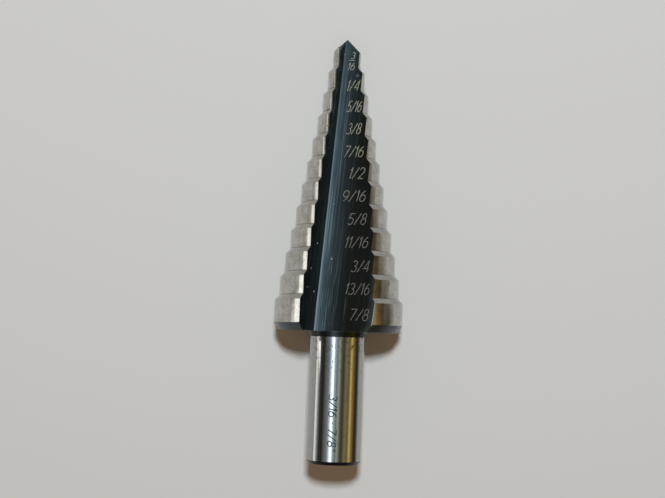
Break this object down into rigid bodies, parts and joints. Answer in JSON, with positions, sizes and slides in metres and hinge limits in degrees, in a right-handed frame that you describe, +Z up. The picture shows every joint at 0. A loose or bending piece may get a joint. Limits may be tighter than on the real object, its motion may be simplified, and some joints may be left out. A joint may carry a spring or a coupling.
{
  "type": "step drill",
  "caption": "Stepped drill bit with straight chip flutes, relieved ground steps, a coned point and a round shank for a drill chuck.",
  "frame": {"origin": "bottom centre of the drill's box, on the surface that the drill lies on", "axes": "+Y the way the point looks along that surface, +Z up out of the surface on the side of the marked flute; the drill axis leans 9.3 degrees nose down in the YZ plane"},
  "size_m": [0.0222, 0.0734, 0.019],
  "materials": {
    "tool_steel": "black oxide in the flutes, the point and the back bevel; bright ground on the lands, the shoulders and the shank"
  },
  "bodies": {
    "root": {"step_drill": "tool_steel"}
  },
  "joints": []
}
